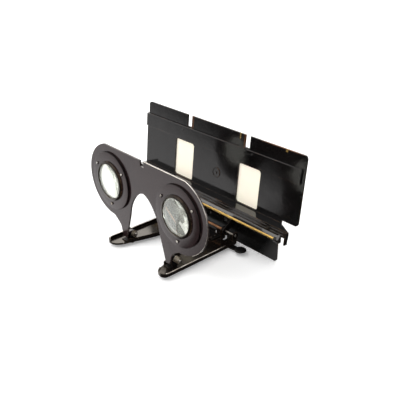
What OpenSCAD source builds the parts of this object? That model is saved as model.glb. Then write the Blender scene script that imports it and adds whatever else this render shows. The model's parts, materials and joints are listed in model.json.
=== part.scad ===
// Folding stereo slide viewer in pressed sheet steel.
// X is the width (the eye spacing), +Y points away from the viewer's face,
// Z is up and the table is z = 0.  The origin lies at the bottom centre of
// the bounding box.  Inside this file the parts are laid out from the foot of
// the slide plate (y = 0) and moved back to that origin by seat().

/* [Lenses] */
// Distance between the two lens centres
lens_gap = 63; // [58:0.5:68]
// Height of the lens centres above the table
lens_z = 40.5; // [36:0.5:46]
// Clear radius of the glass
glass_r = 10.9; // [8:0.1:13]
// Radius of the round pressed lens mount
mount_r = 18.3; // [15:0.1:20]
// How far the lens mount stands off the board
mount_h = 1.3; // [0.8:0.1:3]
// How far the threaded collar stands off the mount
collar_h = 1.3; // [1:0.1:4]
// Radius of the circle the three claws sit on
claw_pcd_r = 15.2; // [13.6:0.1:17]

/* [Lens board] */
// Distance from the slide plate foot to the front of the lens board
board_y = 52.8; // [45:0.1:60]
// Top edge height of the lens board
board_top = 63; // [58:0.5:68]
// Radius of each rounded side of the board
lobe_r = 23.2; // [20:0.1:26]
// Width of the sighting notch in the top edge
notch_w = 3.2; // [1:0.1:4]
// Depth of the sighting notch
notch_h = 3.7; // [1:0.1:6]

/* [Slide holder] */
// Full width of the slide plate
plate_w = 139.3; // [120:0.1:150]
// Height of the top edge, measured along the plate
plate_top = 70.9; // [60:0.1:80]
// Lower edge of the plate ends, measured along the plate
plate_low = 28.46; // [24:0.1:34]
// Backward lean of the slide plate in degrees
plate_lean = 5.2; // [0:0.1:12]
// Width of each picture window
window_w = 18; // [14:0.1:24]
// Height of each picture window
window_h = 25.1; // [18:0.1:30]
// Centre of each window from the middle
window_x = 29.35; // [26:0.1:34]
// Lower edge of the windows, measured along the plate
window_low = 27.45; // [27:0.05:34]
// Depth of the slide shelf
shelf_d = 7.2; // [4:0.1:10]
// Width of the two slots in the top edge
slot_w = 3.95; // [2:0.05:6]

/* [Stand] */
// Half width of the lower leaf
leaf_hw = 57; // [50:0.5:64]
// Height of the lower leaf
leaf_h = 19.85; // [16:0.05:24]
// Height of the arm floor above the table
arm_z = 2.2; // [1.5:0.1:4]

/* [Sheet] */
// Thickness of the slide plate and the lens board
sheet = 1; // [0.6:0.1:1.5]
// Thickness of the arms, brackets and small pressings
thin = 0.6; // [0.4:0.05:1]

/* [Hidden] */
$fn = 40;

black = [0.09, 0.09, 0.09];
dark = [0.16, 0.15, 0.15];
steel = [0.72, 0.72, 0.72];
brass = [0.78, 0.62, 0.28];
copper = [0.62, 0.38, 0.22];
ivory = [0.94, 0.91, 0.84];
clear = [0.85, 0.9, 0.92, 0.5];
lap = 0.02;

nose_y = 61.7;
rear_y = sheet * cos(plate_lean) + plate_top * sin(plate_lean);
y_shift = (nose_y - rear_y) / 2;

// brass rod, rear pivot and front hinge, all running along X
rod_y = -6.2;
rod_z = 20.5;
rod_r = 0.75;
rod_hl = 64.3;
pivot_y = -5;
pivot_z = 8.5;
pivot_r = 0.6;
pivot_hl = 28.9;
hinge_z = 7.6;
knuckle_r = 1.6;
hinge_y = -board_y + 4.3;
pin_r = 0.7;
foot_z = 11.8;
tip_z = 5.4;
run = 0.06;

// slide plate frame
shelf_top = plate_low - 1.66;
slit_x = 57.8;
flange_low = 22.4;
guide_low = 53.6;
guide_high = 62.6;
guide_left = -plate_w / 2;
guide_right = 67.5;
ear_low = 19.3;
rod_py = rod_y * cos(plate_lean) - rod_z * sin(plate_lean);
rod_pz = rod_y * sin(plate_lean) + rod_z * cos(plate_lean);

// leaf and arms
leaf_y = 1.6;
leaf_t = 0.8;
lug_x = 19.2;
lug_t = 0.8;
wall_out = 4.6;
wall_in = 5;
arm_rear = -3.6;
arm_x = 28.6;
arm_in = 11;
foot_in = 17.4;
tip_in = 19.2;
foot_out = 24.5;
tip_out = 22.6;
foot_x = 20;
tongue_hw = 1.2;
clevis_hw = 1.5;
collar_r = 12.4;
rim_r = glass_r + 0.5;
lens_t = 3.8;

module seat() {
  translate([0, y_shift, 0])
    children();
}

module lean() {
  rotate([-plate_lean, 0, 0])
    children();
}

// a cylinder along X from x0 to x1
module rod_x(r, x0, x1, y, z) {
  translate([x0, y, z])
    rotate([0, 90, 0])
      cylinder(r = r, h = x1 - x0);
}

// a cylinder along Y from y0 to y1
module rod_y(r, y0, y1, x, z) {
  translate([x, y1, z])
    rotate([90, 0, 0])
      cylinder(r = r, h = y1 - y0);
}

// a flat sheet drawn in X-Z, from y0 back to y0 + t
module sheet_xz(y0, t) {
  translate([0, y0 + t, 0])
    rotate([90, 0, 0])
      linear_extrude(t)
        children();
}

// a flat sheet drawn in Y-Z, from x0 to x0 + t
module sheet_yz(x0, t) {
  translate([x0, 0, 0])
    rotate([90, 0, 90])
      linear_extrude(t)
        children();
}

// rectangle between two corners
module rect(x0, y0, x1, y1) {
  translate([x0, y0])
    square([x1 - x0, y1 - y0]);
}

// rectangle between two corners with rounded corners
module soft_rect(x0, y0, x1, y1, r) {
  translate([x0 + r, y0 + r])
    offset(r = r, $fn = 24)
      square([x1 - x0 - 2 * r, y1 - y0 - 2 * r]);
}

// points after a on the cubic curve from a to d that is pulled towards b and c
function curve(a, b, c, d, n = 8) = [for (i = [1 : n]) let (t = i / n, u = 1 - t)
  u * u * u * a + 3 * u * u * t * b + 3 * u * t * t * c + t * t * t * d];

module both_sides() {
  children();
  mirror([1, 0, 0])
    children();
}

// low domed rivet head, base at z = 0
module rivet_head(r, h) {
  rotate_extrude($fn = 24)
    polygon([[0, 0], [r, 0], [r * 0.94, h * 0.45], [r * 0.7, h * 0.85], [0, h]]);
}

// rivet head standing on a surface that faces -Y
module rivet_front(x, y, z, r, h) {
  translate([x, y, z])
    rotate([90, 0, 0])
      rivet_head(r, h);
}

// ------------------------------------------------------------ lower leaf

module leaf_outline() {
  soft_rect(-leaf_hw, 0, leaf_hw, leaf_h, 2.2);
  rect(-leaf_hw, leaf_h / 2, leaf_hw, leaf_h);
}

tab_in = 60.6;
tab_out = 62.2;
tab_end = rod_y + 0.9;

module leaf() {
  color(black) seat()
    union() {
      sheet_xz(leaf_y, leaf_t)
        leaf_outline();
      translate([0, 0, leaf_h - leaf_t])
        linear_extrude(leaf_t)
          polygon([[-leaf_hw, leaf_y + leaf_t], [leaf_hw, leaf_y + leaf_t],
            [tab_out, -2], [tab_out, tab_end], [tab_in, tab_end], [tab_in, -3.9],
            [-tab_in, -3.9], [-tab_in, tab_end], [-tab_out, tab_end], [-tab_out, -2]]);
      both_sides()
        difference() {
          rod_x(knuckle_r - 0.15, tab_in, tab_out, rod_y, rod_z);
          rod_x(rod_r + run, tab_in - 1, tab_out + 1, rod_y, rod_z);
        }
    }
}

// angle lug riveted to the leaf that carries the rear pivot rod
module lug(side) {
  foot_w = 6.4;
  lug_low = pivot_z + 2.1;
  lug_high = lug_low + 3.2;
  color(black) seat()
    mirror([side < 0 ? 1 : 0, 0, 0])
      union() {
        sheet_yz(lug_x, lug_t)
          difference() {
            hull() {
              translate([pivot_y, pivot_z])
                circle(r = 2.2, $fn = 32);
              rect(leaf_y - 1, lug_low, leaf_y, lug_high);
            }
            translate([pivot_y, pivot_z])
              circle(r = pivot_r + run, $fn = 32);
          }
        translate([lug_x - foot_w, leaf_y - thin, lug_low])
          cube([foot_w + lap, thin, lug_high - lug_low]);
      }
}

lug_rivet_x = 15.2;
lug_rivet_z = pivot_z + 3.7;

module leaf_rivets() {
  color(black) seat()
    union() {
      both_sides()
        rivet_front(lug_rivet_x, leaf_y - thin, lug_rivet_z, 1, 0.5);
      rivet_front(0, leaf_y, 11.5, 0.9, 0.4);
    }
}

module brass_rod() {
  color(brass) seat()
    rod_x(rod_r, -rod_hl, rod_hl, rod_y, rod_z);
}

// upset heads on the two ends of the brass rod
module rod_heads() {
  color(black) seat()
    both_sides()
      translate([rod_hl, rod_y, rod_z])
        rotate([0, 90, 0])
          rivet_head(1.25, 0.7);
}

module pivot_rod() {
  color(steel) seat()
    rod_x(pivot_r, -pivot_hl, pivot_hl, pivot_y, pivot_z);
}

// upset heads on the two ends of the rear pivot rod
module pivot_heads() {
  color(steel) seat()
    both_sides()
      translate([pivot_hl, pivot_y, pivot_z])
        rotate([0, 90, 0])
          rivet_head(1, 0.5);
}

coil_r = 0.98;
coil_hl = 17;

// close-wound torsion spring on the rear pivot; its long tail leans on the leaf
module coil_spring() {
  tail = 0.36;
  long = 10.8;
  short = 1.6;
  tail_lean = 40;
  color(copper) seat()
    union() {
      difference() {
        rod_x(coil_r, -coil_hl, coil_hl, pivot_y, pivot_z);
        rod_x(pivot_r + run, -coil_hl - 1, coil_hl + 1, pivot_y, pivot_z);
      }
      for (end = [[-coil_hl, long], [coil_hl - tail, short]])
        translate([end[0], pivot_y, pivot_z])
          rotate([-tail_lean, 0, 0])
            translate([0, -coil_r, 0])
              cube([tail, tail, end[1]]);
    }
}

// ------------------------------------------------------------ slide holder

module plate_outline() {
  hw = plate_w / 2;
  difference() {
    union() {
      soft_rect(-hw, plate_low, hw, plate_top, 2.2);
      rect(-hw, shelf_top - sheet + lap, slit_x, plate_low + 4);
    }
    difference() {
      rect(-hw - 1, guide_high, 1.4 - hw, plate_top + 1);
      soft_rect(1.4 - hw, guide_high - 4, 0, plate_top, 2.2);
    }
    difference() {
      rect(-hw - 1, plate_top - 2.2, 3.6 - hw, plate_top + 1);
      soft_rect(1.4 - hw, guide_high - 4, 0, plate_top, 2.2);
    }
    both_sides() {
      rect(window_x - 5.575, 63.4, window_x - 5.575 + slot_w, plate_top + 1);
      soft_rect(window_x - window_w / 2, window_low, window_x + window_w / 2,
        window_low + window_h, 1.8);
    }
  }
}

// raised rib along the flange, broken where the two rivets sit
module bead(z) {
  for (span = [[-66, -flange_rivet_x - 1.4], [1.4 - flange_rivet_x, flange_rivet_x - 1.4],
      [flange_rivet_x + 1.4, 66]])
    rod_x(0.5, span[0], span[1], -shelf_d + 0.3, z, $fn = 16);
}

lug_in = 62.5;
lug_out = 64.1;
flange_rivet_x = 54.5;

module slide_plate() {
  hw = plate_w / 2 - 0.7;
  color(dark) seat() lean()
    union() {
      sheet_xz(0, sheet)
        plate_outline();
      translate([0, 0, shelf_top - sheet])
        linear_extrude(sheet)
          polygon([[-plate_w / 2, sheet], [slit_x, sheet], [slit_x, 0],
            [hw, -shelf_d + 0.4], [hw, -shelf_d], [-hw, -shelf_d], [-plate_w / 2, 0]]);
      sheet_xz(-shelf_d, sheet * 0.8)
        rect(-hw, flange_low, hw, shelf_top);
      bead(flange_low + 1.1);
      bead(flange_low + 2.9);
      both_sides() {
        sheet_yz(hw - 0.8, 0.8)
          rect(-shelf_d - 1.9, ear_low, -shelf_d + 0.4, shelf_top);
        sheet_yz(lug_in, lug_out - lug_in)
          difference() {
            hull() {
              translate([rod_py, rod_pz])
                circle(r = knuckle_r - 0.15, $fn = 32);
              rect(-shelf_d, flange_low, -shelf_d + 0.8, flange_low + 1);
            }
            translate([rod_py, rod_pz])
              circle(r = rod_r + run, $fn = 32);
          }
      }
    }
}

guide_t = 0.9;

// pressed strip along the top that the slide slips behind
module top_guide() {
  color(black) seat() lean()
    sheet_xz(-guide_t, guide_t)
      soft_rect(guide_left, guide_low, guide_right, guide_high, 0.6);
}

module guide_rivets() {
  color(black) seat() lean()
    both_sides()
      rivet_front(31, -guide_t, guide_high - 2, 0.8, 0.3);
}

module flange_rivets() {
  color(black) seat() lean()
    both_sides()
      rivet_front(flange_rivet_x, -shelf_d, flange_low + 2, 1.2, 0.7);
}

// plain round boss pressed into the middle of the plate
module plate_stud() {
  boss_r = 3.4;
  dome_r = 1.1;
  color(black) seat() lean()
    translate([2, 0, 40.5])
      rotate([90, 0, 0])
        rotate_extrude($fn = 48)
          polygon([[0, 0], [boss_r, 0], [boss_r - 0.1, 0.3], [boss_r - 0.4, 0.4],
            [boss_r - 0.8, 0.2], [dome_r, 0.2], [dome_r * 0.8, 0.45], [0, 0.6]]);
}

diff_lap = 1.5;

module diffuser(side) {
  color(ivory) seat() lean()
    sheet_xz(sheet, sheet)
      soft_rect(side * window_x - window_w / 2 - diff_lap, window_low - diff_lap,
        side * window_x + window_w / 2 + diff_lap, window_low + window_h + diff_lap, 0.6);
}

// rear frame that holds a diffuser against the plate
module frame(side) {
  rim = diff_lap + 2;
  color(black) seat() lean()
    difference() {
      sheet_xz(sheet, sheet + thin)
        soft_rect(side * window_x - window_w / 2 - rim, window_low - rim + 1,
          side * window_x + window_w / 2 + rim, window_low + window_h + rim, 1);
      sheet_xz(sheet - 1, sheet + 1.05)
        rect(side * window_x - window_w / 2 - diff_lap - run, window_low - diff_lap - run,
          side * window_x + window_w / 2 + diff_lap + run,
          window_low + window_h + diff_lap + run);
      sheet_xz(sheet, sheet + 2)
        soft_rect(side * window_x - window_w / 2, window_low,
          side * window_x + window_w / 2, window_low + window_h, 1.8);
    }
}

// ------------------------------------------------------------ arms

// plan of one arm floor, drawn for the right-hand side
module arm_plan() {
  shoulder = curve([arm_x, -57.8], [arm_x, -60.8], [27, -nose_y], [25, -nose_y]);
  nose = curve([25, -nose_y], [20.5, -nose_y], [18.4, -57.5], [17.6, -54]);
  waist = curve([17.6, -54], [15.6, -46], [10.8, -34], [arm_in, -24]);
  polygon(concat([[arm_x, arm_rear], [arm_x, -57.8]], shoulder, nose, waist,
    [[arm_in, arm_rear]]));
}

// the same plan pulled in by one sheet thickness
module arm_inner() {
  offset(delta = -thin)
    arm_plan();
}

module arm_walls() {
  rear_h = 6.6;
  // outer wall and nose rim
  intersection() {
    translate([0, 0, arm_z])
      linear_extrude(wall_out - arm_z)
        difference() {
          arm_plan();
          arm_inner();
        }
    union() {
      translate([24.5, -64, 0])
        cube([10, 64 - 13.2, 10]);
      translate([16, -64, 0])
        cube([10, 7.4, arm_z + 1.2]);
    }
  }
  // inner wall
  intersection() {
    translate([0, 0, arm_z])
      linear_extrude(wall_in - arm_z)
        difference() {
          arm_plan();
          arm_inner();
        }
    translate([8, -53, 0])
      cube([11, 53 - 12.8, 10]);
  }
  // rear wall
  translate([arm_in, arm_rear - thin, arm_z])
    cube([arm_x - arm_in, thin, rear_h - arm_z]);
}

// side ear carrying the arm on the rear pivot rod
module arm_ear(x, low) {
  sheet_yz(x, thin)
    difference() {
      union() {
        hull() {
          translate([pivot_y, pivot_z])
            circle(r = 2.3, $fn = 32);
          rect(-7.2, low, arm_rear, low + 1);
        }
      }
      translate([pivot_y, pivot_z])
        circle(r = pivot_r + run, $fn = 32);
    }
}

ear_in = 17.9;

module arm(side) {
  gap = 0.5;
  color(black) seat()
    mirror([side < 0 ? 1 : 0, 0, 0])
      difference() {
        union() {
          translate([0, 0, arm_z])
            linear_extrude(thin)
              arm_plan();
          arm_walls();
          arm_ear(arm_x - thin, 5);
          arm_ear(ear_in, arm_z + lap);
        }
        // rounded lower heel
        translate([0, arm_rear, arm_z])
          rotate([0, 90, 0])
            translate([0, 0, 5])
              linear_extrude(30)
                difference() {
                  rect(-1, -1, 1, 1);
                  translate([-1, -1])
                    circle(r = 1, $fn = 24);
                  rect(-3, -3, -1, 3);
                  rect(-3, -3, 3, -1);
                }
        // slot that lets the leaf lug pass
        translate([lug_x - gap, -6.8, 0])
          cube([lug_t + 2 * gap, 5, 8]);
      }
}

// plate that ties the two arms together at the back
module cross_plate() {
  hw = 16;
  color(black) seat()
    union() {
      translate([-hw, -12.5, arm_z + thin])
        cube([2 * hw, 12.5 - 4.8, thin]);
      translate([-10.4, -4.8 - lap, arm_z + thin])
        cube([20.8, thin, 2.6]);
    }
}

module cross_rivets() {
  color(black) seat()
    both_sides()
      for (y = [-10.8, -7.6])
        translate([13.6, y, arm_z + 2 * thin])
          rivet_head(0.9, 0.45);
}

ear_front = hinge_y - 2.2;
ear_depth = 4.4;
base_front = hinge_y - 5.2;

// clevis on the arm floor that holds the hinge pin of the lens board
module bracket(side) {
  base_z = arm_z + thin;
  clevis_r = 1.9;
  color(black) seat()
    mirror([side < 0 ? 1 : 0, 0, 0])
      union() {
        translate([foot_x - clevis_hw - thin, ear_front, base_z])
          cube([2 * (clevis_hw + thin), ear_depth, thin]);
        translate([foot_x - 1.2, base_front, base_z])
          cube([4.6, ear_front - base_front + lap, thin]);
        for (x = [foot_x - clevis_hw - thin, foot_x + clevis_hw])
          sheet_yz(x, thin)
            difference() {
              hull() {
                translate([hinge_y, hinge_z])
                  circle(r = clevis_r, $fn = 32);
                rect(ear_front, base_z, ear_front + ear_depth, base_z + thin);
              }
              translate([hinge_y, hinge_z])
                circle(r = pin_r + run, $fn = 32);
            }
      }
}

// rivet tails under the bracket; the front of the viewer stands on them
module foot_rivets() {
  color(steel) seat()
    both_sides()
      translate([foot_x, hinge_y, arm_z])
        mirror([0, 0, 1])
          rivet_head(2.2, arm_z);
}

pin_in = 14.7;
pin_out = 27.3;

module hinge_pin(side) {
  color(steel) seat()
    mirror([side < 0 ? 1 : 0, 0, 0])
      union() {
        rod_x(pin_r, pin_in, pin_out, hinge_y, hinge_z);
        rod_x(1.15, pin_out - lap, pin_out + 0.5, hinge_y, hinge_z);
      }
}

hs_r = 2;
hs_wire = 0.5;
hs_outer = 4.4;

// one coil of the hinge spring pair between x0 and x1
module hinge_coil(x0, x1) {
  difference() {
    rod_x(hs_r, x0, x1, hinge_y, hinge_z);
    rod_x(hs_r - hs_wire - 0.1, x0 - 1, x1 + 1, hinge_y, hinge_z);
  }
}

// straight tail that runs back and down from a coil to the arm floor
module hinge_tail(x) {
  translate([x, hinge_y, hinge_z])
    rotate([-36, 0, 0])
      translate([0, 0, -hs_r])
        cube([hs_wire, 5.2, hs_wire]);
}

// torsion springs on both sides of the clevis that push the board upright
module hinge_spring(side) {
  in_x = foot_x - clevis_hw - thin - 0.3;
  out_x = foot_x + clevis_hw + thin + 0.3;
  color(steel) seat()
    mirror([side < 0 ? 1 : 0, 0, 0])
      union() {
        hinge_coil(in_x - 2.2, in_x);
        hinge_coil(out_x, out_x + hs_outer);
        hinge_tail(in_x - hs_wire);
        hinge_tail(out_x + hs_outer - hs_wire);
      }
}

// ------------------------------------------------------------ lens board

// right-hand half of the board outline, heights measured from the lens centre
module board_half() {
  cx = lens_gap / 2;
  top = board_top - lens_z;
  foot_low = foot_z - lens_z;
  tip_low = tip_z - lens_z;
  waist = [13.4, -14.5];
  intersection() {
    translate([cx, 0])
      circle(r = lobe_r, $fn = 96);
    rect(waist[0], -lobe_r - 1, cx + lobe_r + 1, top);
  }
  outside = curve([cx, -lobe_r + 0.15], [28.6, -25], [26.2, -26],
    [foot_out, foot_low]);
  inside = curve([foot_in, foot_low], [16.6, -25], [14.6, -20.5], waist);
  bridge = curve(waist, [12.6, -8.5], [6.5, 1], [0, 2]);
  polygon(concat([[0, top], [cx, top], [cx, -lobe_r + 0.15]], outside,
    [[tip_out, tip_low], [tip_in, tip_low]], inside, bridge));
}

module lens_board() {
  tongue_in = foot_x - tongue_hw;
  color(dark) seat()
    difference() {
      union() {
        translate([0, 0, lens_z])
          sheet_xz(-board_y, sheet)
            both_sides()
              board_half();
        both_sides() {
          rod_x(knuckle_r, tongue_in, foot_x + tongue_hw, hinge_y, hinge_z);
          // tongue that runs back from the foot and rolls round the pin
          translate([tongue_in, -board_y, hinge_z + knuckle_r - sheet])
            cube([2 * tongue_hw, hinge_y + board_y, sheet]);
        }
      }
      translate([-notch_w / 2, -board_y - 1, board_top - notch_h])
        cube([notch_w, 3, notch_h + 1]);
      both_sides()
        rod_y(collar_r + run, -board_y - 1, -board_y + 3, lens_gap / 2, lens_z);
      both_sides()
        rod_x(pin_r + run, foot_in - 1, foot_out + 1, hinge_y, hinge_z);
    }
}

module at_lens(side) {
  translate([side * lens_gap / 2, -board_y, lens_z])
    rotate([90, 0, 0])
      children();
}

// pressed round mount: z here runs forward from the board face
module mount(side) {
  edge = 0.2;
  color(dark) seat()
    at_lens(side)
      rotate_extrude($fn = 72)
        polygon([[collar_r + run, 0], [mount_r, 0], [mount_r, mount_h - edge],
          [mount_r - edge, mount_h], [collar_r + run, mount_h]]);
}

module collar(side) {
  rear = -sheet - 2.3;
  front = mount_h + collar_h;
  color(black) seat()
    at_lens(side)
      rotate_extrude($fn = 72)
        polygon([[rim_r + run, rear], [collar_r, rear], [collar_r, front - 0.5],
          [collar_r - 0.5, front], [glass_r + 0.3, front], [glass_r, front - 0.3],
          [glass_r, front - 0.6], [rim_r + run, front - 0.6]]);
}

glass_f = mount_h + collar_h - 0.75;

// biconvex glass; f is the height of the front rim, sag the dome height
module lens(side) {
  f = glass_f;
  sag = 1.3;
  steps = 6;
  bow = (rim_r * rim_r + sag * sag) / (2 * sag);
  front = [for (i = [0 : steps]) let (r = glass_r * (1 - i / steps) - 0.05 * (1 - i / steps))
    [r, f - bow + sag + sqrt(bow * bow - r * r)]];
  back = [for (i = [0 : steps]) let (r = (rim_r - 1) * i / steps)
    [r, f - lens_t + bow - sag - sqrt(bow * bow - r * r)]];
  color(clear) seat()
    at_lens(side)
      rotate_extrude($fn = 60)
        polygon(concat([[rim_r, f - lens_t], [rim_r, f]], front, back));
}

// rear ring that holds the glass in its collar
module ring(side) {
  high = glass_f - lens_t - 0.25;
  color(steel) seat()
    at_lens(side)
      rotate_extrude($fn = 60)
        polygon([[rim_r - 0.9, high - 1], [rim_r, high - 1], [rim_r, high],
          [rim_r - 0.9, high]]);
}

// three claws bent up round the edge of the mount face
module claws(side) {
  color(steel) seat()
    at_lens(side)
      for (a = [33, 147, 272])
        rotate([0, 0, a])
          translate([claw_pcd_r - 0.6, -1.1, mount_h])
            cube([1.2, 2.2, 0.8]);
}

// ------------------------------------------------------------ thumb lever

lever_x = 22.6;
lever_y = -8.2;
lever_t = thin;
lever_z = arm_z - lever_t - run;
pad_x = 36;
pad_y = -7.7;

module thumb_lever() {
  color(black) seat()
    difference() {
      translate([0, 0, lever_z])
        linear_extrude(lever_t)
          hull() {
            translate([lever_x, lever_y])
              circle(r = 2.1, $fn = 32);
            translate([28, -7.9])
              circle(r = 2.3, $fn = 32);
            translate([34, pad_y])
              circle(r = 1.9, $fn = 32);
          }
      translate([lever_x, lever_y, 0])
        cylinder(r = 0.7 + run, h = 9, $fn = 24);
    }
}

module lever_pad() {
  color(black) seat()
    translate([pad_x, pad_y, lever_z + lever_t])
      rotate_extrude($fn = 40)
        polygon([[0, 0], [3.3, 0], [3.7, 0.35], [3.7, 0.7], [3.2, 1.15], [2, 1.4], [0, 1.5]]);
}

// pivot rivet that hangs the lever under the arm floor
module lever_rivet() {
  shank = lever_t + 2 * run;
  color(steel) seat()
    translate([lever_x, lever_y, arm_z])
      mirror([0, 0, 1])
        union() {
          cylinder(r = 0.7, h = shank + lap, $fn = 24);
          translate([0, 0, shank])
            rivet_head(1.3, 0.25);
        }
}

leaf();
lug(-1);  // lug_left
lug(1);  // lug_right
leaf_rivets();
brass_rod();
rod_heads();
pivot_rod();
pivot_heads();
coil_spring();
slide_plate();
top_guide();
guide_rivets();
flange_rivets();
plate_stud();
diffuser(-1);  // diffuser_left
diffuser(1);  // diffuser_right
frame(-1);  // frame_left
frame(1);  // frame_right
arm(-1);  // arm_left
arm(1);  // arm_right
cross_plate();
cross_rivets();
bracket(-1);  // bracket_left
bracket(1);  // bracket_right
foot_rivets();
hinge_pin(-1);  // hinge_pin_left
hinge_pin(1);  // hinge_pin_right
hinge_spring(-1);  // hinge_spring_left
hinge_spring(1);  // hinge_spring_right
lens_board();
mount(-1);  // mount_left
mount(1);  // mount_right
collar(-1);  // collar_left
collar(1);  // collar_right
lens(-1);  // lens_left
lens(1);  // lens_right
ring(-1);  // ring_left
ring(1);  // ring_right
claws(-1);  // claws_left
claws(1);  // claws_right
thumb_lever();
lever_pad();
lever_rivet();
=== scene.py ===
# Looks for the folding stereo slide viewer: materials, fine pieces, studio and camera.
import json
import math

import bmesh
import bpy
from mathutils import Matrix, Vector


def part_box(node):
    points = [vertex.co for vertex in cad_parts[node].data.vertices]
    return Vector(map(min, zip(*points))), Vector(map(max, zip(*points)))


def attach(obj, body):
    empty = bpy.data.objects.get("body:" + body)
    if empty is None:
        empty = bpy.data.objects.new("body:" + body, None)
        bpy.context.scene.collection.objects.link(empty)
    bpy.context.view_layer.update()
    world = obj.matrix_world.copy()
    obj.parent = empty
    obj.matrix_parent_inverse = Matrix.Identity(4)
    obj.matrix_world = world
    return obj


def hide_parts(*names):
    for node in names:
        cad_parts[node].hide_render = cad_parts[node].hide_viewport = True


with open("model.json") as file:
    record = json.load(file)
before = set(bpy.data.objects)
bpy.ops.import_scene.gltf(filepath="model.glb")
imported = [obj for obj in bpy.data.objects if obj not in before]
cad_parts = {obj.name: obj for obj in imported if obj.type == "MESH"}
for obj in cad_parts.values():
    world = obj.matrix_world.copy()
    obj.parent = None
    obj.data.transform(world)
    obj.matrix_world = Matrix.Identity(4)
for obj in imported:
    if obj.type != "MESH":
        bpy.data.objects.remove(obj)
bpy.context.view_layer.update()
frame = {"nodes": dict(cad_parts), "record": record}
nodes = frame["nodes"]

record = frame["record"]
MM = 0.001
JOINTS = {joint["name"]: Vector(joint["pos_m"]) for joint in record["behaviour"]["joints"]}
# lean of the slide plate and the way its front face looks
LEAN = math.radians(5.2)
PLATE_NORMAL = Vector((0, -math.cos(LEAN), math.sin(LEAN)))


# ---------------------------------------------------------------- node helpers

def new_material(name):
    mat = bpy.data.materials.new(name)
    mat.use_nodes = True
    tree = mat.node_tree
    tree.nodes.clear()
    out = tree.nodes.new("ShaderNodeOutputMaterial")
    bsdf = tree.nodes.new("ShaderNodeBsdfPrincipled")
    tree.links.new(bsdf.outputs[0], out.inputs["Surface"])
    return mat, tree, bsdf


def add(tree, kind, **values):
    node = tree.nodes.new(kind)
    for key, value in values.items():
        if key in node.inputs:
            node.inputs[key].default_value = value
        else:
            setattr(node, key, value)
    return node


def link(tree, a, b):
    tree.links.new(a, b)


def object_coords(tree, scale=(1, 1, 1)):
    coords = add(tree, "ShaderNodeTexCoord")
    mapping = add(tree, "ShaderNodeMapping")
    mapping.inputs["Scale"].default_value = scale
    link(tree, coords.outputs["Object"], mapping.inputs["Vector"])
    return mapping.outputs["Vector"]


def noise(tree, vector, scale, detail=4.0, rough=0.55):
    node = add(tree, "ShaderNodeTexNoise", Scale=scale, Detail=detail, Roughness=rough)
    link(tree, vector, node.inputs["Vector"])
    return node.outputs["Fac"]


def spread(tree, fac, low, high, out_low=0.0, out_high=1.0):
    node = add(tree, "ShaderNodeMapRange", clamp=True)
    for socket, value in (("From Min", low), ("From Max", high),
                          ("To Min", out_low), ("To Max", out_high)):
        node.inputs[socket].default_value = value
    link(tree, fac, node.inputs["Value"])
    return node.outputs["Result"]


def along(tree, direction, axis, low, high, out_low=0.0, out_high=1.0):
    """Soft step on how far a direction or a place lies along an axis."""
    dot = add(tree, "ShaderNodeVectorMath", operation="DOT_PRODUCT")
    link(tree, direction, dot.inputs[0])
    dot.inputs[1].default_value = axis
    step = spread(tree, dot.outputs["Value"], low, high, out_low, out_high)
    step.node.interpolation_type = "SMOOTHSTEP"
    return step


def maths(tree, kind, a, b):
    node = add(tree, "ShaderNodeMath", operation=kind)
    for k, value in enumerate((a, b)):
        if isinstance(value, (int, float)):
            node.inputs[k].default_value = value
        else:
            link(tree, value, node.inputs[k])
    return node.outputs[0]


def mix_colour(tree, fac, a, b):
    node = add(tree, "ShaderNodeMix", data_type="RGBA")
    link(tree, fac, node.inputs["Factor"])
    for socket, value in ((node.inputs[6], a), (node.inputs[7], b)):
        if isinstance(value, tuple):
            socket.default_value = (*value, 1)
        else:
            link(tree, value, socket)
    return node.outputs[2]


def window_mask(tree, vector, spans):
    """1 inside a box of object coordinates; spans maps an axis name to (low, high, soft edge)."""
    split = add(tree, "ShaderNodeSeparateXYZ")
    link(tree, vector, split.inputs[0])
    mask = None
    for axis, (low, high, soft) in spans.items():
        value = split.outputs[axis]
        inside = maths(tree, "MULTIPLY", spread(tree, value, low - soft, low + soft),
                       spread(tree, value, high - soft, high + soft, 1.0, 0.0))
        mask = inside if mask is None else maths(tree, "MULTIPLY", mask, inside)
    return mask


def rounded_normal(tree, radius):
    return add(tree, "ShaderNodeBevel", samples=6, Radius=radius).outputs["Normal"]


def bump(tree, bsdf, height, strength, distance, normal=None):
    node = add(tree, "ShaderNodeBump", Strength=strength, Distance=distance)
    link(tree, height, node.inputs["Height"])
    if normal is not None:
        link(tree, normal, node.inputs["Normal"])
    link(tree, node.outputs["Normal"], bsdf.inputs["Normal"])


def edge_mask(tree, rounded, low, high):
    """1 along sharp edges, from the difference between the rounded and true normals."""
    geometry = add(tree, "ShaderNodeNewGeometry")
    dot = add(tree, "ShaderNodeVectorMath", operation="DOT_PRODUCT")
    link(tree, rounded, dot.inputs[0])
    link(tree, geometry.outputs["Normal"], dot.inputs[1])
    return spread(tree, dot.outputs["Value"], low, high, 1.0, 0.0)


# ---------------------------------------------------------------- materials

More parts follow.
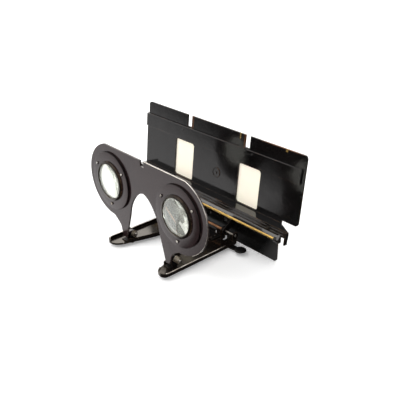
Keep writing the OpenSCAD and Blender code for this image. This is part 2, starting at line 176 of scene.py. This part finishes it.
def enamel(name, base, warm, rough, wear=0.6, wear_colour=(0.30, 0.17, 0.09), marks=(),
           gloss=0.5, tint=(1, 1, 1), painted_sheen=None):
    """Stoved enamel on steel: dark gloss with orange peel, fine scuffs and rubbed edges; an
    optional gradient lightens it along a direction as a painted sheen.
    """
    mat, tree, bsdf = new_material(name)
    where = object_coords(tree)
    coat = mix_colour(tree, spread(tree, noise(tree, where, 60.0, 3.0), 0.3, 0.7), base, warm)
    # painted sheen: the colour fades to a lighter tone along a direction
    if painted_sheen:
        toward_sheen, sheen_start, sheen_full, sheen_colour = painted_sheen
        dust_film_and_painted_sheen = along(tree, where, toward_sheen, sheen_start, sheen_full)
        coat = mix_colour(tree, dust_film_and_painted_sheen, coat, sheen_colour)
    rounded = rounded_normal(tree, 0.22 * MM)
    fine = noise(tree, where, 900.0, 5.0, 0.6)
    patch = spread(tree, noise(tree, where, 120.0, 2.0), 0.42, 0.6)
    edges = edge_mask(tree, rounded, 0.88, 0.99)
    worn = maths(tree, "MULTIPLY", edges, spread(tree, fine, 0.36, 0.6))
    worn = maths(tree, "MULTIPLY", worn, maths(tree, "ADD", patch, 0.25))
    worn = maths(tree, "MULTIPLY", worn, wear)
    colour = mix_colour(tree, worn, coat, wear_colour)
    metallic = worn
    for spans, mark_colour, amount in marks:
        mask = maths(tree, "MULTIPLY", window_mask(tree, where, spans),
                     spread(tree, fine, 0.3, 0.5))
        mask = maths(tree, "MULTIPLY", mask, amount)
        colour = mix_colour(tree, mask, colour, mark_colour)
        metallic = maths(tree, "MAXIMUM", metallic, mask)
    link(tree, colour, bsdf.inputs["Base Color"])
    link(tree, metallic, bsdf.inputs["Metallic"])
    scuffs = noise(tree, object_coords(tree, (1, 1, 14)), 240.0, 6.0, 0.7)
    scuff = spread(tree, scuffs, 0.66, 0.8, 0.0, 0.12)
    shine = spread(tree, noise(tree, where, 140.0, 4.0), 0.3, 0.75, rough * 0.8, rough * 1.3)
    shine = maths(tree, "ADD", shine, scuff)
    link(tree, maths(tree, "ADD", shine, maths(tree, "MULTIPLY", worn, 0.2)),
         bsdf.inputs["Roughness"])
    bsdf.inputs["Specular IOR Level"].default_value = gloss
    bsdf.inputs["Specular Tint"].default_value = (*tint, 1)
    bump(tree, bsdf, noise(tree, where, 420.0, 3.0), 0.12, 0.1 * MM, rounded)
    return mat


def metal(name, base, dark, rough, grain=(1, 30, 30)):
    """Bare metal with drawing lines, stain and slightly rounded edges."""
    mat, tree, bsdf = new_material(name)
    where = object_coords(tree)
    stain = spread(tree, noise(tree, where, 160.0, 5.0), 0.35, 0.7)
    link(tree, mix_colour(tree, stain, base, dark), bsdf.inputs["Base Color"])
    bsdf.inputs["Metallic"].default_value = 1.0
    lines = noise(tree, object_coords(tree, grain), 300.0, 4.0, 0.6)
    link(tree, spread(tree, lines, 0.3, 0.7, rough * 0.7, rough * 1.5), bsdf.inputs["Roughness"])
    bump(tree, bsdf, lines, 0.15, 0.05 * MM, rounded_normal(tree, 0.12 * MM))
    return mat


def glass(name):
    """Old crown glass, faintly green, with a little dust."""
    mat, tree, bsdf = new_material(name)
    bsdf.inputs["IOR"].default_value = 1.52
    wipes = noise(tree, object_coords(tree, (1, 1, 0.25)), 260.0, 5.0, 0.6)
    dust_film_and_painted_sheen = spread(tree, wipes, 0.35, 0.7, 0.8, 0.93)
    link(tree, dust_film_and_painted_sheen, bsdf.inputs["Transmission Weight"])
    tint = mix_colour(tree, spread(tree, wipes, 0.4, 0.65), (0.74, 0.77, 0.70), (0.90, 0.90, 0.84))
    link(tree, tint, bsdf.inputs["Base Color"])
    dust = noise(tree, object_coords(tree), 700.0, 6.0, 0.7)
    link(tree, spread(tree, dust, 0.5, 0.8, 0.03, 0.12), bsdf.inputs["Roughness"])
    bump(tree, bsdf, noise(tree, object_coords(tree), 90.0, 2.0), 0.04, 0.1 * MM)
    return mat


def opal(name):
    """Ivory diffusing sheet; the light that would pass through it is painted in as a glow of its
    own cream colour.
    """
    mat, tree, bsdf = new_material(name)
    where = object_coords(tree)
    cloud = spread(tree, noise(tree, where, 70.0, 4.0), 0.3, 0.7)
    cream = mix_colour(tree, cloud, (0.78, 0.76, 0.62), (0.78, 0.70, 0.60))
    link(tree, cream, bsdf.inputs["Base Color"])
    # painted light: the sheet glows with its own colour in place of light shining through it
    link(tree, cream, bsdf.inputs["Emission Color"])
    bsdf.inputs["Emission Strength"].default_value = 0.45
    bsdf.inputs["Roughness"].default_value = 0.35
    bsdf.inputs["Subsurface Weight"].default_value = 0.25
    bsdf.inputs["Subsurface Radius"].default_value = (4 * MM, 4 * MM, 3 * MM)
    bump(tree, bsdf, noise(tree, where, 1500.0, 2.0), 0.1, 0.03 * MM)
    return mat


# rubbed marks along the top of the plate: spans in object coordinates, colour and strength
BROWN = (0.22, 0.10, 0.05)
GOLD = (0.75, 0.50, 0.16)
PLATE_MARKS = (
    ({"X": (19.4 * MM, 20.0 * MM, 0.15 * MM), "Z": (67.3 * MM, 72 * MM, 0.3 * MM)}, GOLD, 0.9),
    ({"X": (-23.9 * MM, -22.2 * MM, 0.6 * MM), "Z": (63 * MM, 72 * MM, 1.0 * MM)}, BROWN, 0.8),
    ({"X": (23.0 * MM, 24.2 * MM, 0.5 * MM), "Z": (63 * MM, 72 * MM, 1.0 * MM)}, BROWN, 0.7),
    ({"X": (54.8 * MM, 56.0 * MM, 0.3 * MM), "Z": (69.0 * MM, 72 * MM, 0.3 * MM)}, GOLD, 0.9),
    ({"X": (40 * MM, 64 * MM, 6 * MM), "Z": (70.2 * MM, 72 * MM, 0.2 * MM)}, BROWN, 0.7),
)

BLACK = enamel("black_japan", (0.004, 0.0032, 0.003), (0.008, 0.006, 0.005), 0.16,
               gloss=0.36, tint=(1.0, 0.84, 0.67))
PLATE = enamel("plate_japan", (0.0025, 0.0025, 0.0025), (0.0045, 0.004, 0.004), 0.11,
               wear=0.8, marks=PLATE_MARKS, gloss=0.5, tint=(1.0, 0.97, 0.97))
BOARD = enamel("board_japan", (0.012, 0.0065, 0.007), (0.018, 0.010, 0.010), 0.18, wear=0.9,
               wear_colour=(0.55, 0.50, 0.44), gloss=0.36, tint=(1.0, 0.91, 0.91))
# leaf: a darker, less glossy copy of the enamel as painted shade under the rod, lightened towards
# +X and down as a painted sheen
LEAF = enamel("leaf_japan", (0.002, 0.002, 0.002), (0.004, 0.0035, 0.003), 0.16, gloss=0.15,
              painted_sheen=(Vector((1, 0, -0.6)), 40 * MM, 52 * MM, (0.032, 0.031, 0.031)))
# dull dark enamel; on the side faces of the mounts and claws it stands as painted shade
DULL = enamel("dull_japan", (0.002, 0.002, 0.002), (0.004, 0.003, 0.003), 0.45, wear=0.35,
              gloss=0.2)
# bright bare metal: worn on the arm rims, painted highlight on the board edge and the claw tops
RIM = metal("bright_wear_and_painted_highlight", (0.92, 0.87, 0.80), (0.34, 0.28, 0.22), 0.3)
STEEL = metal("bare_steel", (0.50, 0.48, 0.44), (0.24, 0.21, 0.18), 0.28)
SPRING = metal("spring_steel", (0.66, 0.58, 0.46), (0.16, 0.12, 0.08), 0.3)
BRASS = metal("drawn_brass", (0.74, 0.48, 0.14), (0.50, 0.30, 0.08), 0.22, (30, 30, 1))
COPPER = metal("coppered_wire", (0.62, 0.32, 0.17), (0.34, 0.17, 0.09), 0.35)
GLASS = glass("lens_glass")
OPAL = opal("opal_sheet")

BY_SLOT = {"black_enamel": BLACK, "board_enamel": BOARD, "steel": STEEL, "brass": BRASS,
           "copper": COPPER, "glass": GLASS, "diffuser": OPAL}
slots = {part["node"]: part["material_slot"] for part in record["subparts"]}
for node_name, obj in nodes.items():
    obj.data.materials.clear()
    obj.data.materials.append(BY_SLOT[slots[node_name]])
for node_name in ("slide_plate", "top_guide", "plate_stud", "guide_rivets"):
    nodes[node_name].data.materials[0] = PLATE
nodes["leaf"].data.materials[0] = LEAF
for node_name in ("bracket_left", "bracket_right", "lug_left", "lug_right", "rod_heads",
                  "cross_plate", "thumb_lever", "lever_pad"):
    nodes[node_name].data.materials[0] = DULL


# ---------------------------------------------------------------- mesh helpers

def make_object(name, bm, material, body):
    """Smooth-shaded object from a bmesh, riding on a body."""
    mesh = bpy.data.meshes.new(name)
    bmesh.ops.recalc_face_normals(bm, faces=bm.faces)
    bm.to_mesh(mesh)
    bm.free()
    for face in mesh.polygons:
        face.use_smooth = True
    mesh.materials.append(material)
    obj = bpy.data.objects.new(name, mesh)
    bpy.context.scene.collection.objects.link(obj)
    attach(obj, body)
    return obj


def sweep(bm, path, radius, sides):
    """A round wire along a list of points, closed at both ends with a small dome."""
    count = len(path)
    tangents = [(path[min(k + 1, count - 1)] - path[max(k - 1, 0)]).normalized()
                for k in range(count)]
    side = tangents[0].orthogonal().normalized()
    rings = []
    for k, (point, tangent) in enumerate(zip(path, tangents)):
        side = (side - tangent * side.dot(tangent)).normalized()
        up = tangent.cross(side)
        ring = []
        for step in range(sides):
            angle = 2 * math.pi * step / sides
            spoke = math.cos(angle) * side + math.sin(angle) * up
            ring.append(bm.verts.new(point + radius * spoke))
        rings.append(ring)
    for a, b in zip(rings, rings[1:]):
        for step in range(sides):
            nxt = (step + 1) % sides
            bm.faces.new((a[step], a[nxt], b[nxt], b[step]))
    for ring, point, tangent in ((rings[0], path[0], -tangents[0]),
                                 (rings[-1], path[-1], tangents[-1])):
        tip = bm.verts.new(point + tangent * radius * 0.6)
        for step in range(sides):
            bm.faces.new((ring[step], ring[(step + 1) % sides], tip))


def lathe(bm, centre, axis, profile, segments):
    """Turns a profile of (radius, height) about an axis; a radius of 0 closes the end."""
    axis = axis.normalized()
    side = axis.orthogonal().normalized()
    up = axis.cross(side)
    rows = []
    for radius, height in profile:
        middle = centre + axis * height
        if radius == 0:
            rows.append([bm.verts.new(middle)])
            continue
        rows.append([bm.verts.new(middle + radius * (math.cos(a) * side + math.sin(a) * up))
                     for a in (2 * math.pi * k / segments for k in range(segments))])
    for a, b in zip(rows, rows[1:]):
        for k in range(segments):
            nxt = (k + 1) % segments
            if len(a) == 1:
                bm.faces.new((a[0], b[k], b[nxt]))
            elif len(b) == 1:
                bm.faces.new((a[k], a[nxt], b[0]))
            else:
                bm.faces.new((a[k], a[nxt], b[nxt], b[k]))


def helix(axis_point, radius, x_start, x_end, pitch, start, per_turn=14):
    """Points of a coil about an axis along X, from x_start to x_end, first at angle start."""
    turns = abs(x_end - x_start) / pitch
    steps = int(turns * per_turn)
    points = []
    for k in range(steps + 1):
        angle = start + 2 * math.pi * turns * k / steps
        points.append(Vector((x_start + (x_end - x_start) * k / steps,
                              axis_point.y + radius * math.cos(angle),
                              axis_point.z + radius * math.sin(angle))))
    return points


def crisp(obj, degrees):
    """Keeps edges sharper than an angle crisp while the rest is smooth."""
    edge = obj.modifiers.new("edge", "EDGE_SPLIT")
    edge.split_angle = math.radians(degrees)


def side_faces(obj, material):
    """Gives the faces that don't look along Y a second material."""
    obj.data.materials.append(material)
    for face in obj.data.polygons:
        if abs(face.normal.y) < 0.5:
            face.material_index = 1


def dome(radius, height, rows=5):
    """Profile of a domed head with a small rolled foot."""
    foot = [(radius * 0.96, 0.0), (radius, height * 0.12)]
    cap = [(radius * math.cos(a), height * (0.18 + 0.82 * math.sin(a)))
           for a in (math.pi / 2 * (k + 0.6) / (rows + 0.6) for k in range(rows))]
    return foot + cap + [(0, height)]


def on_plate(x, depth, height):
    """Row-frame point from a place in the leaning plate's own frame, in mm."""
    return Vector((x * MM,
                   plate_foot + (depth * math.cos(LEAN) + height * math.sin(LEAN)) * MM,
                   (height * math.cos(LEAN) - depth * math.sin(LEAN)) * MM))


# the foot line of the slide plate lies 6.2 mm behind the rod it tilts on
plate_foot = JOINTS["holder_tilt"].y + 6.2 * MM
pivot = JOINTS["arm_swing"]
hinge = JOINTS["board_hinge"]


# ---------------------------------------------------------------- springs

def make_coil_spring():
    """Long close coil on the pivot rod, with a straight tail that leans up and back."""
    lo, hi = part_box("coil_spring")
    wire = 0.34 * MM
    radius = 0.98 * MM - wire / 2
    tail_length = 10.4 * MM
    start = math.radians(140)
    coil = helix(pivot, radius, lo.x + wire / 2, hi.x - wire / 2, wire * 1.05, start)
    lean = Vector((0, math.sin(math.radians(40)), math.cos(math.radians(40))))
    tail = [coil[0] + lean * tail_length * k / 8 for k in range(8, 0, -1)]
    bm = bmesh.new()
    sweep(bm, tail + coil, wire / 2, 6)
    spring = make_object("coil_spring_wire", bm, COPPER, "stand")
    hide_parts("coil_spring")


def make_hinge_springs():
    """Open coils on both sides of each clevis, each with a tail down to the arm floor."""
    wire = 0.5 * MM
    radius = 2.0 * MM - wire / 2
    pitch = 2.7 * wire
    inner_length = 2.2 * MM
    outer_length = 4.4 * MM
    tail_length = 4.8 * MM
    tail_turn = math.radians(234)
    slope = math.radians(36)
    down = Vector((0, math.cos(slope), -math.sin(slope)))
    for name, sign in (("left", -1), ("right", 1)):
        lo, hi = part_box("hinge_spring_" + name)
        near, far = sorted((abs(lo.x), abs(hi.x)))
        bm = bmesh.new()
        for x_start, x_end in ((near + inner_length, near), (far - outer_length, far)):
            x_stop = x_end - math.copysign(wire / 2, x_end - x_start)
            start = tail_turn - 2 * math.pi * abs(x_stop - x_start) / pitch
            coil = helix(hinge, radius, x_start, x_stop, pitch, start, 20)
            coil = [Vector((sign * p.x, p.y, p.z)) for p in coil]
            angle = math.atan2(coil[-1].z - hinge.z, coil[-1].y - hinge.y)
            out = Vector((0, -math.sin(angle), math.cos(angle)))
            tail = [coil[-1] + out.lerp(down, min(1, k / 3)) * tail_length * k / 8
                    for k in range(1, 9)]
            sweep(bm, coil + tail, wire / 2, 8)
        spring = make_object("hinge_spring_coils_" + name, bm, SPRING, "arms")
        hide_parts("hinge_spring_" + name)


# ---------------------------------------------------------------- rivets and small turned parts

def make_rivets(name, node, body, places, radius, height, material, ring=0.0):
    """Domed heads at (point, outward direction); ring adds a turned collar round each."""
    bm = bmesh.new()
    for point, out in places:
        profile = dome(radius, height)
        if ring:
            profile = ([(radius + ring, 0), (radius + ring * 0.9, height * 0.28),
                        (radius + ring * 0.4, height * 0.34), (radius * 1.02, height * 0.1)]
                       + profile[2:])
        lathe(bm, point, out, profile, 24)
    obj = make_object(name, bm, material, body)
    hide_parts(node)


def make_all_rivets():
    """Rivets of the leaf, the slide guide, the shelf flange and the cross plate."""
    front = Vector((0, -1, 0))
    up = Vector((0, 0, 1))
    leaf_head = 0.5 * MM
    lug_x = 15.2 * MM
    rivet_lo, rivet_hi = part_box("leaf_rivets")
    lug_face = rivet_lo.y + leaf_head
    lug_z = rivet_hi.z - 1.0 * MM
    leaf_face = lug_face + 0.6 * MM
    make_rivets("leaf_rivet_heads", "leaf_rivets", "stand",
                [(Vector((lug_x, lug_face, lug_z)), front),
                 (Vector((-lug_x, lug_face, lug_z)), front),
                 (Vector((0, leaf_face, 11.5 * MM)), front)],
                0.9 * MM, leaf_head, BLACK)
    make_rivets("guide_rivet_heads", "guide_rivets", "holder",
                [(on_plate(s * 31, -0.9, 60.6), PLATE_NORMAL) for s in (-1, 1)],
                0.8 * MM, 0.3 * MM, PLATE)
    make_rivets("flange_rivet_heads", "flange_rivets", "holder",
                [(on_plate(s * 54.5, -7.2, 24.4), PLATE_NORMAL) for s in (-1, 1)],
                0.75 * MM, 0.7 * MM, BLACK, ring=0.45 * MM)
    cross_head = 0.45 * MM
    _, cross_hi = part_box("cross_rivets")
    cross_z = cross_hi.z - cross_head
    make_rivets("cross_rivet_heads", "cross_rivets", "arms",
                [(Vector((s * 13.6 * MM, plate_foot + y * MM, cross_z)), up)
                 for s in (-1, 1) for y in (-10.8, -7.6)],
                0.9 * MM, cross_head, BLACK)


def make_lenses():
    """Biconvex glasses turned finely enough to refract cleanly."""
    for name in ("left", "right"):
        lo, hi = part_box("lens_" + name)
        centre = (lo + hi) / 2
        rim = (hi.x - lo.x) / 2
        half = (hi.y - lo.y) / 2
        sag = 1.3 * MM
        flat = half - sag
        bow = (rim * rim + sag * sag) / (2 * sag)
        rows = 12
        arc = [rim * k / rows for k in range(rows + 1)]
        rise = [math.sqrt(bow * bow - r * r) - bow + sag for r in arc]
        profile = [(r, -(flat + z)) for r, z in zip(arc, rise)]
        profile += [(r, flat + z) for r, z in reversed(list(zip(arc, rise)))]
        bm = bmesh.new()
        lathe(bm, centre, Vector((0, -1, 0)), profile, 72)
        obj = make_object("lens_glass_" + name, bm, GLASS, "board")
        crisp(obj, 40)
        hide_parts("lens_" + name)


def make_collars():
    """Lens collars with fine threads turned on the outside."""
    for name in ("left", "right"):
        lo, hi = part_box("collar_" + name)
        centre = Vector(((lo.x + hi.x) / 2, hi.y, (lo.z + hi.z) / 2))
        outer = (hi.x - lo.x) / 2
        deep = hi.y - lo.y
        bore = 11.46 * MM
        lip = 10.9 * MM
        seat = deep - 0.6 * MM
        round_over = 0.4 * MM
        threads = 3
        thread_pitch = 0.3 * MM
        thread_depth = 0.14 * MM
        thread_start = deep - 1.35 * MM
        profile = [(bore, 0), (outer, 0)]
        for k in range(threads):
            low = thread_start + thread_pitch * k
            profile += [(outer, low), (outer - thread_depth, low + thread_pitch * 0.3),
                        (outer, low + thread_pitch * 0.6)]
        profile += [(outer, deep - round_over),
                    (outer - round_over * 0.3, deep - round_over * 0.45),
                    (outer - round_over, deep), (lip + 0.3 * MM, deep), (lip, deep - 0.25 * MM),
                    (lip, seat), (bore, seat), (bore, 0)]
        bm = bmesh.new()
        lathe(bm, centre, Vector((0, -1, 0)), profile, 96)
        bmesh.ops.remove_doubles(bm, verts=bm.verts, dist=1e-7)
        obj = make_object("lens_collar_" + name, bm, BLACK, "board")
        crisp(obj, 35)
        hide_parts("collar_" + name)


def make_mounts():
    """Pressed round mounts with a softened rim and a fine gap round the foot; their side walls
    take the dull dark enamel as painted shade.
    """
    for name in ("left", "right"):
        lo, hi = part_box("mount_" + name)
        centre = Vector(((lo.x + hi.x) / 2, hi.y, (lo.z + hi.z) / 2))
        outer = (hi.x - lo.x) / 2
        deep = hi.y - lo.y
        bore = 12.46 * MM
        soft = 0.3 * MM
        gap = 0.12 * MM
        gap_high = 0.22 * MM
        profile = [(bore, 0), (outer - gap, 0), (outer - gap, gap_high), (outer, 0.3 * MM),
                   (outer, deep - soft)]
        profile += [(outer - soft * (1 - math.cos(a)), deep - soft * (1 - math.sin(a)))
                    for a in (math.pi / 2 * k / 4 for k in range(1, 5))]
        profile += [(bore, deep), (bore, 0)]
        bm = bmesh.new()
        lathe(bm, centre, Vector((0, -1, 0)), profile, 96)
        bmesh.ops.remove_doubles(bm, verts=bm.verts, dist=1e-7)
        obj = make_object("lens_mount_" + name, bm, BOARD, "board")
        # painted shade: side walls in the dull dark enamel, the face in the board enamel
        side_faces(obj, DULL)
        crisp(obj, 35)
        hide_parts("mount_" + name)


def make_board_edge():
    """Bright metal bead along the top and the right-hand lobe of the lens board: a rolled lip,
    laid only where the edge catches the light, as a painted highlight.
    """
    lo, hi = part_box("lens_board")
    mount_lo, mount_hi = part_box("mount_right")
    middle = (mount_lo + mount_hi) / 2
    lobe = hi.x - middle.x - 0.05 * MM
    top = hi.z - 0.08 * MM
    front = lo.y + 0.1 * MM
    bead = 0.2 * MM
    start = math.asin((top - middle.z) / lobe)
    end = math.radians(-62)
    corner = middle.x + lobe * math.cos(start)
    notch = 2.0 * MM
    path = [Vector((notch + (corner - notch) * k / 16, front, top)) for k in range(16)]
    path += [Vector((middle.x + lobe * math.cos(a), front, middle.z + lobe * math.sin(a)))
             for a in (start + (end - start) * k / 40 for k in range(41))]
    bm = bmesh.new()
    sweep(bm, path, bead, 8)
    # painted highlight: bright metal only where the edge catches the light
    obj = make_object("board_painted_highlight_edge", bm, RIM, "board")


def make_claws():
    """Three small tabs pressed out of each mount face, each with a rounded nose; bright metal on
    their tops is painted highlight and dull dark enamel on their sides is painted shade.
    """
    width = 1.0 * MM
    near = 14.5 * MM
    length = 1.5 * MM
    high = 0.75 * MM
    for name in ("left", "right"):
        mount_lo, mount_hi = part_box("mount_" + name)
        centre = Vector(((mount_lo.x + mount_hi.x) / 2, mount_lo.y,
                         (mount_lo.z + mount_hi.z) / 2))
        bm = bmesh.new()
        for degrees in (33, 147, 272):
            angle = math.radians(degrees)
            out = Vector((math.cos(angle), 0, math.sin(angle)))
            side = Vector((-math.sin(angle), 0, math.cos(angle)))
            lift = Vector((0, -1, 0))
            rows = []
            for k in range(7):
                t = k / 6
                half = width * math.sqrt(max(0.04, 1 - t ** 3))
                rise = high * math.sin(math.pi * min(1, 0.25 + 0.6 * t))
                middle = centre + out * (near + length * t)
                rows.append([bm.verts.new(middle + side * half * s + lift * rise * h)
                             for s, h in ((-1, 0), (-0.8, 0.85), (0, 1), (0.8, 0.85), (1, 0))])
            for a, b in zip(rows, rows[1:]):
                for k in range(4):
                    bm.faces.new((a[k], a[k + 1], b[k + 1], b[k]))
                bm.faces.new((a[4], a[0], b[0], b[4]))
            bm.faces.new(rows[0])
            bm.faces.new(rows[-1])
        # painted highlight on the tab tops, painted shade on their sides
        obj = make_object("mount_claws_" + name, bm, RIM, "board")
        side_faces(obj, DULL)
        crisp(obj, 50)
        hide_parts("claws_" + name)


# ---------------------------------------------------------------- rolled edges

def make_arm_rims():
    """The rolled bead along the outer wall of each arm, rubbed bright by handling."""
    bead = 0.3 * MM
    top = 4.6 * MM
    turn_start = 4.2 * MM
    turn_in = 1.4 * MM
    turn_on = 2.6 * MM
    turn_down = 0.5 * MM
    for name, sign in (("left", -1), ("right", 1)):
        lo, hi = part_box("arm_" + name)
        outer = max(abs(lo.x), abs(hi.x)) - 0.15 * MM
        front = lo.y
        back = plate_foot - 13.4 * MM
        straight = [Vector((sign * outer, back + (front + turn_start - back) * k / 24, top))
                    for k in range(25)]
        turn = [Vector((sign * (outer - turn_in * (1 - math.cos(a))),
                        front + turn_start - turn_on * math.sin(a),
                        top - turn_down * (1 - math.cos(a))))
                for a in (math.pi / 2 * k / 6 for k in range(1, 7))]
        bm = bmesh.new()
        sweep(bm, straight + turn, bead, 8)
        obj = make_object("arm_rolled_edge_" + name, bm, RIM, "arms")


def make_guide_roll():
    """Rolled upper edge of the slide guide, turned down its right-hand end."""
    lo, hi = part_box("top_guide")
    bead = 0.42 * MM
    depth = -0.55
    turn = 0.45
    shoulder = 61.9
    drop = 7
    left = lo.x / MM + 0.5
    right = hi.x / MM - 0.5
    path = [on_plate(left + (right - left) * k / 48, depth, shoulder + turn) for k in range(49)]
    path += [on_plate(right + turn * math.sin(a), depth, shoulder + turn * math.cos(a))
             for a in (math.pi / 2 * k / 4 for k in range(1, 5))]
    path += [on_plate(right + turn, depth, shoulder - drop * k / 8) for k in range(1, 9)]
    bm = bmesh.new()
    sweep(bm, path, bead, 8)
    obj = make_object("guide_rolled_edge", bm, PLATE, "holder")


make_coil_spring()
make_hinge_springs()
make_all_rivets()
make_lenses()
make_collars()
make_mounts()
make_board_edge()
make_claws()
make_arm_rims()
make_guide_roll()


# ---------------------------------------------------------------- studio

def make_floor():
    """Pale floor out to the horizon; gloss sees the room's lower half instead of it."""
    mesh = bpy.data.meshes.new("floor")
    size = 40.0
    mesh.from_pydata([(-size, -size, 0), (size, -size, 0), (size, size, 0), (-size, size, 0)],
                     [], [(0, 1, 2, 3)])
    floor = bpy.data.objects.new("floor", mesh)
    bpy.context.scene.collection.objects.link(floor)
    mat, tree, bsdf = new_material("pale_floor")
    bsdf.inputs["Base Color"].default_value = (0.95, 0.95, 0.95, 1)
    bsdf.inputs["Roughness"].default_value = 0.9
    bsdf.inputs["Specular IOR Level"].default_value = 0.1
    bsdf.inputs["Emission Color"].default_value = (1, 1, 1, 1)
    bsdf.inputs["Emission Strength"].default_value = 0.2
    mesh.materials.append(mat)
    floor.visible_glossy = False


def area_light(name, place, target, size, power, colour=(1, 1, 1)):
    """Rectangular soft light at a place, turned to a target."""
    data = bpy.data.lights.new(name, "AREA")
    data.shape = "RECTANGLE"
    data.size, data.size_y = size
    data.energy = power
    data.color = colour
    light = bpy.data.objects.new(name, data)
    bpy.context.scene.collection.objects.link(light)
    light.location = place
    aim = Vector(target) - Vector(place)
    light.rotation_euler = aim.to_track_quat("-Z", "Y").to_euler()


def toward(azimuth, elevation):
    """Unit vector at an azimuth from +X and an elevation, both in degrees."""
    a, e = math.radians(azimuth), math.radians(elevation)
    return Vector((math.cos(e) * math.cos(a), math.cos(e) * math.sin(a), math.sin(e)))


def edge_plane(first, second, inside):
    """Normal of the plane through the room's centre and two directions, on the inside's side."""
    normal = first.cross(second).normalized()
    return normal if normal.dot(inside) > 0 else -normal


def make_world():
    """Soft room: bright above, a low pale sheet to the left and a dark right-hand side."""
    world = bpy.data.worlds.new("studio")
    bpy.context.scene.world = world
    world.use_nodes = True
    tree = world.node_tree
    background = tree.nodes["Background"]
    direction = add(tree, "ShaderNodeTexCoord").outputs["Generated"]
    sheet_middle = toward(-143, -25)
    sheet_edge = edge_plane(toward(-134, -12.8), toward(-127, -16), sheet_middle)
    side_edge = edge_plane(toward(-138, -32), toward(-125.6, -18), sheet_middle)
    sheet = maths(tree, "MULTIPLY", along(tree, direction, sheet_edge, -0.012, 0.028),
                  along(tree, direction, side_edge, -0.01, 0.02))
    fall = along(tree, direction, Vector((0, 0, -1)), 0.2, 0.5, 1.05, 1.75)
    low_light = maths(tree, "MAXIMUM", maths(tree, "MULTIPLY", sheet, fall), 0.03)
    up_light = along(tree, direction, toward(0, 0), -0.6, 0.9, 1.25, 0.75)
    upper = along(tree, direction, Vector((0, 0, 1)), -0.07, -0.005)
    both = maths(tree, "ADD", maths(tree, "MULTIPLY", upper, up_light),
                 maths(tree, "MULTIPLY", maths(tree, "SUBTRACT", 1.0, upper), low_light))
    link(tree, both, background.inputs["Strength"])
    background.inputs["Color"].default_value = (1, 1, 1, 1)


def make_camera():
    """Long-lens camera to the right of the viewer, looking down at its front."""
    data = bpy.data.cameras.new("camera")
    data.sensor_width = 36
    data.lens = 51.8
    data.clip_start = 0.01
    camera = bpy.data.objects.new("camera", data)
    bpy.context.scene.collection.objects.link(camera)
    place = Vector((0.24303, -0.20182, 0.18657))
    forward = Vector((-0.66357, 0.60197, -0.44420)).normalized()
    right = forward.cross(Vector((0, 0, 1))).normalized()
    up = right.cross(forward)
    basis = Matrix((right, up, -forward)).transposed().to_4x4()
    camera.matrix_world = Matrix.Translation(place) @ basis
    bpy.context.scene.camera = camera


make_floor()
make_world()
make_camera()
area_light("back_softbox", (-1.1, 1.0, 0.95), (0, 0, 0.03), (1.5, 1.1), 14, (1.0, 0.96, 0.9))
area_light("key", (-0.5, -0.9, 1.2), (0, 0, 0.03), (1.0, 1.0), 8)
area_light("side_strip", toward(34, 8) * 1.2, (0, 0, 0.04), (0.3, 0.3), 1.5)
bpy.context.scene.view_settings.view_transform = "Standard"
